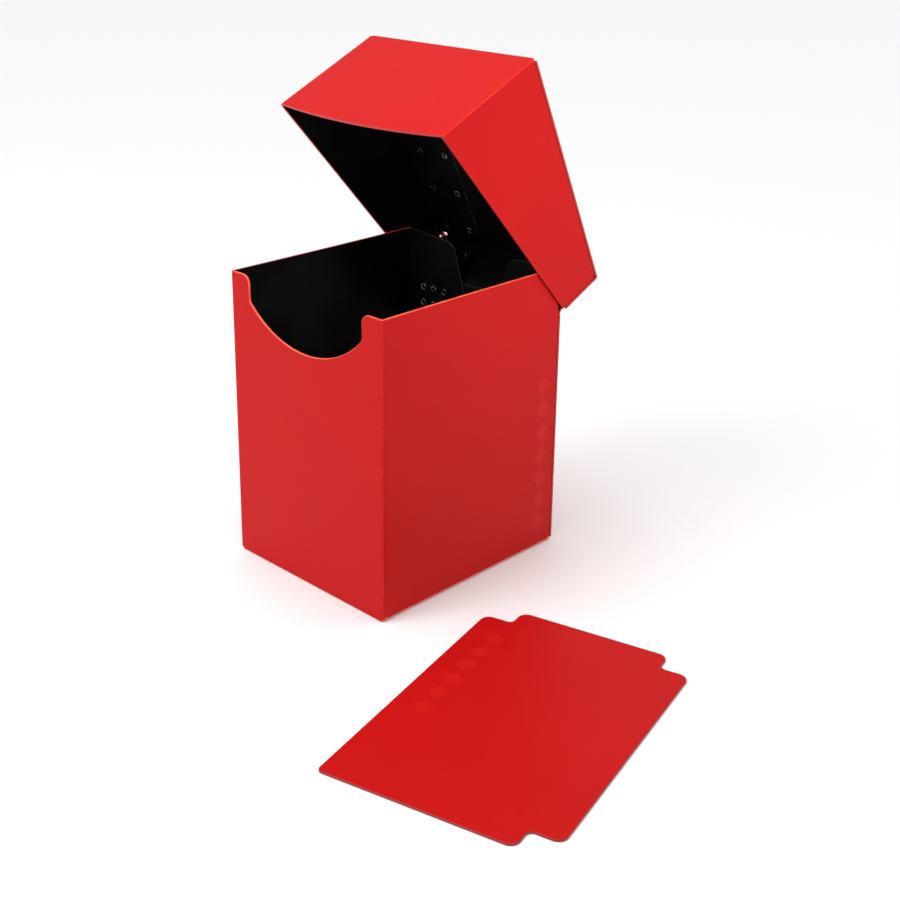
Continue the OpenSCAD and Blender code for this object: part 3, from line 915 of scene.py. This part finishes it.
def hingePatches():
    # half the thickness to each side of the path; it thins towards the hinge line as
    # exp(-distance squared), times a root of sin(pi share) that keeps both ends thick
    path, share = hingePath()
    along = unit(np.gradient(path, axis=0))
    outward = np.stack([along[:, 1], -along[:, 0]], 1)
    nearness = np.exp(-(np.linalg.norm(path, axis=1) / hingeWeb["thinReach"]) ** 2)
    nearness = nearness * np.sin(np.pi * share) ** hingeWeb["thinPower"]
    half = (thick - (thick - hingeWeb["thin"]) * nearness) / 2
    x = lines(-webHalf, webHalf)

    def carried(section):
        # the section (y, z) carried along x
        grid = np.empty((len(x), len(section), 3))
        grid[..., 0] = x[:, None]
        grid[..., 1] = hingeY + section[:, 0]
        grid[..., 2] = hingeZ + section[:, 1]
        return grid

    # the whole web is painted paler: stress whitening and a painted highlight
    return [dict(outer=carried(path + outward * half[:, None]),
                 inner=carried(path - outward * half[:, None]), curved=False, bent=1.0)]


hinge = piece("hingeWeb", None, ["living_hinge"], "red_sheet", backFolded, hingePatches(),
              lambda x, y, z: ~nearly(np.abs(x), webHalf), exactNormals=False,
              rounding=hingeWeb["edgeRound"])
webPath = hingePath()[0]
chord = unit(webPath[-1] - webPath[0]) * hingeWeb["bendReach"]
hingeY - chord[0]
hingeZ - chord[1]
hingeY + chord[0]
hingeZ + chord[1]
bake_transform(hinge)
print("hinge made")


# Lid: back strip and top, with the relief holes at its rear corners

relief = dict(
    radius=1.1 * mm,
    edge=0.3 * mm,         # between the hole and the folds round it
    steps=6,               # faces along each side of the square round the hole
    rings=2,
)


def stripPatches():
    # a wall as wide as the lid, and the fold over it
    foot = hingeZ + hingeWeb["stripGap"]
    x = np.concatenate([[-lidHalf, -webHalf], lines(-flatHalf, flatHalf), [webHalf, lidHalf]])
    across, up = np.meshgrid(x, lines(foot, lidTop - foldRadius), indexing="ij")
    return [
        wall(lidBack * yAxis, across, xAxis, up, zAxis, -yAxis),
        fold((lidBack - foldRadius) * yAxis + (lidTop - foldRadius) * zAxis, x, xAxis, yAxis, zAxis),
    ]


def squareRing(x, y, radius):
    # Between a round hole and the square cell round it: each point of the square's border is
    # joined to the point of the circle in the same direction
    side = np.concatenate([
        np.stack([x[:-1], np.full(len(x) - 1, y[0])], 1),
        np.stack([np.full(len(y) - 1, x[-1]), y[:-1]], 1),
        np.stack([x[:0:-1], np.full(len(x) - 1, y[-1])], 1),
        np.stack([np.full(len(y) - 1, x[0]), y[:0:-1]], 1)])
    side = np.concatenate([side, side[:1]])
    middle = np.array([x.mean(), y.mean()])
    circle = middle + unit(side - middle) * radius
    share = np.linspace(0, 1, relief["rings"] + 1)[None, :, None]
    return circle[:, None] * (1 - share) + side[:, None] * share


def topPatches():
    # a grid with a square left out round each hole, and the ring that fills the square
    size = relief["radius"] + relief["edge"]
    holeX = lidHalf - foldRadius - size
    holeY = lidBack - foldRadius - size
    front, back = lidWallFront, lidBack - foldRadius
    holeXs = np.linspace(holeX - size, holeX + size, relief["steps"] + 1)
    holeYs = np.linspace(holeY - size, back, relief["steps"] + 1)
    middle = lines(-holeXs[0], holeXs[0])
    right = np.concatenate([holeXs, [lidHalf]])
    x = np.concatenate([-right[::-1], middle[1:-1], right])
    y = np.concatenate([lines(front, holeYs[0])[:-1], holeYs])
    patches = []
    beside = np.array([holeXs[-1], lidHalf])
    blocks = [(x, y[:-relief["steps"]]), (middle, holeYs), (beside, holeYs), (-beside[::-1], holeYs)]
    for xs, ys in blocks:
        across, along = np.meshgrid(xs, ys, indexing="ij")
        patches.append(wall(lidTop * zAxis, across, xAxis, along, yAxis, -zAxis))
    for xs in (holeXs, -holeXs[::-1]):
        ring = squareRing(xs, holeYs, relief["radius"])
        patches.append(wall(lidTop * zAxis, ring[..., 0], xAxis, ring[..., 1], yAxis, -zAxis))
    return patches


def lidPiece(name, nodes, slot, patches, joined, finishes=backFolded, **options):
    # the lid's pieces are sorted into cut and joined edges while shut, then turned open
    def joinedShut(x, y, z):
        shut = turned(np.stack([x, y, z], 1), -openAngle)
        return joined(*shut.T)
    return piece(name, "lid", nodes, slot, finishes, lidTurned(patches), joinedShut, **options)


def stripJoined(x, y, z):
    # the strip meets the top panel, and along its foot the hinge web
    return nearly(z, lidTop) | (nearly(z, hingeZ + hingeWeb["stripGap"]) & (np.abs(x) < webHalf))


lidPiece("lidBackStrip", ["lid_back_strip", "lid_inner_ply"], "red_sheet", stripPatches(),
         stripJoined, redFrom=lidFlatHalf)
lidPiece("lidTopPanel", ["lid_top_panel"], "red_sheet", topPatches(),
         lambda x, y, z: nearly(y, lidWallFront) | nearly(y, lidBack - foldRadius), redFrom=lidFlatHalf)


# Lid: front flap, with its curved lower edge

frontFlap = dict(
    bow=0.35 * mm,         # how far its foot stands out at the middle
    rows=15, cell=2.4 * mm,
)


def lidFrontPatches():
    # the lower edge is the arc through both corners that hangs lowest in the middle; the wall
    # stands out as cos x cos z (1 - z) over its width and height
    bow = lidFoot - lidBowFoot
    radius = (lidFlatHalf ** 2 + bow ** 2) / (2 * bow)
    x = lines(-lidFlatHalf, lidFlatHalf, frontFlap["cell"])
    foot = lidBowFoot + radius - np.sqrt(radius ** 2 - x ** 2)
    share = np.linspace(0, 1, frontFlap["rows"] + 1)[None, :]
    across = np.repeat(x[:, None], share.size, axis=1)
    up = foot[:, None] + (lidTop - foldRadius - foot[:, None]) * share
    push = -frontFlap["bow"] * np.cos(across / lidFlatHalf * np.pi / 2)
    push = push * np.cos(np.pi * share / 2) * (1 - share)
    return [
        wall(lidFront * yAxis, across, xAxis, up, zAxis, yAxis, push),
        fold(lidWallFront * yAxis + (lidTop - foldRadius) * zAxis, x, xAxis, -yAxis, zAxis),
    ]


lidPiece("lidFrontFlap", ["lid_front_flap"], "red_sheet", lidFrontPatches(),
         lambda x, y, z: nearly(np.abs(x), lidFlatHalf) | nearly(z, lidTop))


# Lid: sides

lidSide = dict(
    tail=0.6 * mm,         # how far the rear corner hangs below the hinge line
    rows=14,
    cornerRows=3,
)


def lidSidePatches():
    # the lower edge slants from the front flap's foot to just below the hinge line
    y = lines(lidWallFront, lidWallBack)
    foot = np.interp(y, [lidWallFront, lidWallBack], [lidFoot, hingeZ - lidSide["tail"]])
    share = np.linspace(0, 1, lidSide["rows"] + 1)[None, :]
    across = np.repeat(y[:, None], share.size, axis=1)
    up = foot[:, None] + (lidWallTop - foot[:, None]) * share
    above = np.linspace(lidWallTop, lidTop - thick, lidSide["cornerRows"] + 1)
    upright = np.concatenate([up[0], above[1:]])
    return [
        wall(lidHalf * xAxis, across, yAxis, up, zAxis, -xAxis),
        fold(lidFlatHalf * xAxis + lidWallFront * yAxis, upright, zAxis, xAxis, -yAxis),
        fold(lidFlatHalf * xAxis + lidWallBack * yAxis, up[-1], zAxis, xAxis, yAxis),
        fold(lidFlatHalf * xAxis + lidWallTop * zAxis, y, yAxis, xAxis, zAxis),
    ]


lidPiece("lidRightSide", ["lid_right_side"], "red_sheet", lidSidePatches(), lidJoined)
lidPiece("lidLeftSide", ["lid_left_side"], "red_sheet", mirrored(lidSidePatches()), lidJoined)


# Lid: tabs

topTab = dict(taper=1.6 * mm, taperLength=7 * mm, cornerRadius=3 * mm, spineMargin=10 * mm)
rearTab = dict(taper=1.0 * mm, cornerRadius=2 * mm, spineMargin=6 * mm)


def topTabPatches():
    # a long rectangle that tapers at its rear
    inner = shutSpan("lid_right_top_tab", 0)[0]
    front, back = shutSpan("lid_right_top_tab", 1)
    radius = topTab["cornerRadius"]
    outline = roundedOutline([
        (lidFlatHalf, front, 0),
        (lidFlatHalf, back, 0),
        (inner + topTab["taper"], back, radius),
        (inner, back - topTab["taperLength"], radius),
        (inner, front, radius)])
    spine = spineUp((inner + lidFlatHalf) / 2, front, back, topTab["spineMargin"])
    return flatPatch(outline, spine, (lidTop - thick) * zAxis, xAxis, yAxis, -zAxis)


def rearTabPatches():
    # a short rectangle with a slanting free end
    inner = shutSpan("lid_right_rear_tab", 0)[0]
    foot, head = shutSpan("lid_right_rear_tab", 2)
    radius = rearTab["cornerRadius"]
    outline = roundedOutline([
        (lidFlatHalf, foot, 0),
        (lidFlatHalf, head, 0),
        (inner + rearTab["taper"], head, radius),
        (inner, foot, radius)])
    spine = spineUp((foot + head) / 2, inner, lidFlatHalf, rearTab["spineMargin"])[:, ::-1]
    return flatPatch(outline, spine, (lidBack - thick) * yAxis, xAxis, zAxis, -yAxis)


for side, turn in (("Right", list), ("Left", mirrored)):
    for kind, patches in (("Top", topTabPatches()), ("Rear", rearTabPatches())):
        node = f"lid_{side.lower()}_{kind.lower()}_tab"
        lidPiece(f"lid{side}{kind}Tab", [node], "black_sheet", turn(patches), lidJoined, tucked)
print("lid made")


# Weld spots: melted rims left by the welding horn

weld = dict(
    radius=1.3 * mm,
    crest=0.16 * mm,       # height of the rim
    crestPlace=0.78, crestWidth=0.16,      # shares of the radius
    dish=0.18,             # rise at the spot's middle, as a share of the rim's height
    root=0.03 * mm,        # how deep the outer edge lies in the flap
    rings=10, sides=28,
    marginX=8 * mm, pitchX=5 * mm, pitchZ=5.8 * mm, rearDrop=20 * mm, rearLift=14 * mm,
    bottomPitchX=10 * mm, bottomPitchY=25 * mm,
    tabMarginX=6.1 * mm, tabPitchX=11.7 * mm, tabMarginRear=8 * mm, tabMarginFront=12 * mm,
    tabCount=5, rearTabLift=10.5 * mm,
)
weldRim = weldFinish("weldRim")


def weldSpots(name, body, node, groups):
    # each spot is a surface of revolution, with the height crest (exp(-((r - place) / width)
    # squared) + dish (1 - r) squared) at the share r of its radius; its underside is hidden
    reach = np.linspace(0, 1, weld["rings"] + 1)
    hump = np.exp(-((reach - weld["crestPlace"]) / weld["crestWidth"]) ** 2)
    height = weld["crest"] * (hump + weld["dish"] * (1 - reach) ** 2)
    height[-1] = -weld["root"]
    turn = np.linspace(0, 2 * np.pi, weld["sides"], endpoint=False)
    points, faces = [], []
    count = weld["rings"] * weld["sides"]
    index = np.arange(count).reshape(weld["rings"], weld["sides"])
    after = np.roll(index, -1, axis=1)
    quads = np.stack([index[:-1], index[1:], after[1:], after[:-1]], -1).reshape(-1, 4)
    top = np.stack([np.full(weld["sides"], count), index[0], after[0]], 1)
    under = index[-1][::-1]
    total = 0
    for centres, firstAxis, secondAxis in groups:
        upward = np.cross(firstAxis, secondAxis)
        circle = np.cos(turn)[:, None] * firstAxis + np.sin(turn)[:, None] * secondAxis
        rings = reach[1:, None, None] * weld["radius"] * circle + height[1:, None, None] * upward
        one = np.concatenate([rings.reshape(-1, 3), [height[0] * upward]])
        for centre in centres:
            points.append(one + centre)
            faces += (quads + total).tolist() + (top + total).tolist() + [(under + total).tolist()]
            total += len(one)
    cloud = np.concatenate(points)
    if body == "lid":
        cloud = turned(cloud, openAngle)
    high = np.append(np.repeat(height[1:], weld["sides"]), height[0]) / weld["crest"]
    mesh = smoothMesh(name, cloud, faces, dict(crest=np.tile(high, len(cloud) // len(high))))
    placed(name, mesh, body, [node], [weldRim])


def crossed(xs, others, place):
    # every pair of the two lists, on both sides of the box
    return np.array([place(side * x, other) for side in (-1, 1) for x in xs for other in others])


rearXs = halfWidth - weld["marginX"] - weld["pitchX"] * np.arange(3)
rise = (bodyTop - weld["rearDrop"] - weld["rearLift"]) / 2
rearZs = (weld["rearLift"] + rise * np.arange(3)[:, None] - weld["pitchZ"] * np.arange(2)).ravel()
weldSpots("rearWelds", "box", "rear_weld_spots",
          [(crossed(rearXs, rearZs, lambda x, z: (x, flapBack - thick, z)), xAxis, zAxis)])
bottomXs = halfWidth - weld["marginX"] - weld["bottomPitchX"] * np.arange(2)
bottomYs = weld["bottomPitchY"] * np.arange(-1, 2)
weldSpots("bottomWelds", "box", "bottom_weld_spots",
          [(crossed(bottomXs, bottomYs, lambda x, y: (x, y, 2 * thick)), xAxis, yAxis)])
tabXs = lidHalf - weld["tabMarginX"] - weld["tabPitchX"] * np.arange(2)
tabYs = np.linspace(lidBack - weld["tabMarginRear"], lidFront + weld["tabMarginFront"],
                    weld["tabCount"])
tabZs = [hingeZ + weld["rearTabLift"]]
weldSpots("lidWelds", "lid", "lid_weld_spots", [
    (crossed(tabXs, tabYs, lambda x, y: (x, y, lidTop - 2 * thick)), yAxis, xAxis),
    (crossed(tabXs, tabZs, lambda x, z: (x, lidBack - 2 * thick, z)), xAxis, zAxis)])
print("weld spots made")


# Loose divider

divider = dict(
    width=67 * mm, length=98 * mm,
    cutWidth=9.3 * mm, cutLength=7.2 * mm,
    tabRadius=3 * mm, nookRadius=1.8 * mm, cornerRadius=1.5 * mm,
    turn=np.radians(14.0),
    spineMargin=30 * mm,
    markSide=9 * mm, markAhead=10 * mm,    # from its long edge and its middle to the lozenges
)


def dividerOutline():
    # one plain corner; the other three are cut so that the edges end in tabs
    side, end = divider["width"] / 2, divider["length"] / 2
    inX, inY = side - divider["cutWidth"], end - divider["cutLength"]
    tab, nook = divider["tabRadius"], divider["nookRadius"]
    return roundedOutline([
        (-side, -end, divider["cornerRadius"]),
        (inX, -end, tab), (inX, -inY, nook), (side, -inY, tab),
        (side, inY, tab), (inX, inY, nook), (inX, end, tab),
        (-inX, end, tab), (-inX, inY, nook), (-side, inY, tab)])


low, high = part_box("deck_divider")
cosine, sine = np.cos(divider["turn"]), np.sin(divider["turn"])
dividerX = cosine * xAxis + sine * yAxis
dividerY = cosine * yAxis - sine * xAxis
outline = dividerOutline()
corners = outline[:, :1] * dividerX + outline[:, 1:] * dividerY
dividerCentre = (np.array(low) + np.array(high)) / 2 - (corners.min(0) + corners.max(0)) / 2
dividerCentre[2] = high[2]
markAside = dividerX * (divider["width"] / 2 - divider["markSide"])
dividerMark = dict(
    lozengeRow, count=6,
    centre=tuple(dividerCentre - markAside + dividerY * divider["markAhead"]),
    turn=(0, 0, divider["turn"]),
)
spine = spineUp(0, -divider["length"] / 2, divider["length"] / 2, divider["spineMargin"])
dividerPatches = flatPatch(outline, spine, dividerCentre, dividerX, dividerY, -zAxis,
                           depth=high[2] - low[2])
shadedEdge = cutEdge("cutEdgeShaded", cut["shaded"], inside=False)
piece("deckDivider", "divider", ["deck_divider"], "red_sheet",
      [redSheet("redSheetDivider", dividerMark), redFinish, shadedEdge], dividerPatches)
print("divider made")


# Floor, lights and camera

floor = dict(
    size=40.0,
    drop=0.05 * mm,        # how far it lies below the box
    pale=(0.94, 0.94, 0.94, 1), paler=(0.95, 0.95, 0.95, 1),
    grainScale=60, roughness=0.9,
)
studio = dict(
    ambient=0.65,
    topPower=1.1, topSoftness=70,          # watts per square metre, and degrees
    key=dict(power=1.25, size=0.30, place=(-0.10, -0.36, 0.46), target=(0, 0, 0.08), spread=np.pi),
    side=dict(power=0.030, size=0.12, place=(0.40, -0.02, 0.34), target=(halfWidth, 0.02, 0.14),
              spread=0.45),
)
camera = dict(
    place=(0.3104, -0.3000, 0.2245),
    yaw=-43.74, pitch=-19.315, roll=0.83,  # degrees; yaw is measured from +Y towards +X
    lens=56.21, sensor=36, shift=-0.12,
    near=0.01, far=50,
)


def floorMaterial():
    # two pale greys mixed by fine noise
    material, wire = newMaterial("paleFloor")
    fine = noise(wire, wire.node("TexCoord", output=3), floor["grainScale"], 3)
    colour = mixed(wire, fine, floor["pale"], floor["paler"])
    finishMaterial(wire, {"Base Color": colour, "Roughness": floor["roughness"]})
    return material


def makeFloor():
    # one square face just under the box
    half, drop = floor["size"] / 2, floor["drop"]
    mesh = bpy.data.meshes.new("floor")
    mesh.from_pydata([(-half, -half, -drop), (half, -half, -drop), (half, half, -drop),
                      (-half, half, -drop)], [], [(0, 1, 2, 3)])
    mesh.materials.append(floorMaterial())
    added("floor", mesh)


def softLight(name, look):
    # a disk that faces its target
    data = bpy.data.lights.new(name, "AREA")
    data.shape = "DISK"
    data.energy = look["power"]
    data.size = look["size"]
    data.spread = look["spread"]
    made = added(name, data)
    made.location = look["place"]
    aim = Vector(look["target"]) - made.location
    made.rotation_euler = aim.to_track_quat("-Z", "Y").to_euler()


def topLight():
    # broad and straight down, so the floor stays pale
    data = bpy.data.lights.new("topLight", "SUN")
    data.energy = studio["topPower"]
    data.angle = np.radians(studio["topSoftness"])
    added("topLight", data)


def makeCamera():
    # axes from yaw and pitch, then turned by roll about the line of sight
    yaw, pitch, roll = np.radians([camera["yaw"], camera["pitch"], camera["roll"]])
    forward = np.array([np.sin(yaw) * np.cos(pitch), np.cos(yaw) * np.cos(pitch), np.sin(pitch)])
    right = np.array([np.cos(yaw), -np.sin(yaw), 0])
    up = np.cross(right, forward)
    rightRolled = right * np.cos(roll) + up * np.sin(roll)
    upRolled = up * np.cos(roll) - right * np.sin(roll)
    axes = np.eye(4)
    axes[:3] = np.stack([rightRolled, upRolled, -forward, camera["place"]], 1)
    data = bpy.data.cameras.new("camera")
    data.lens = camera["lens"]
    data.sensor_width = camera["sensor"]
    data.shift_y = camera["shift"]
    data.clip_start = camera["near"]
    data.clip_end = camera["far"]
    made = added("camera", data)
    made.matrix_world = Matrix(axes.tolist())
    bpy.context.scene.camera = made


makeFloor()
topLight()
softLight("keyLight", studio["key"])
softLight("sideLight", studio["side"])
makeCamera()

world = bpy.data.worlds.new("world")
world.use_nodes = True
background = world.node_tree.nodes["Background"]
background.inputs["Color"].default_value = (1, 1, 1, 1)
background.inputs["Strength"].default_value = studio["ambient"]
bpy.context.scene.world = world
bpy.context.scene.view_settings.view_transform = "Standard"
print("studio made")
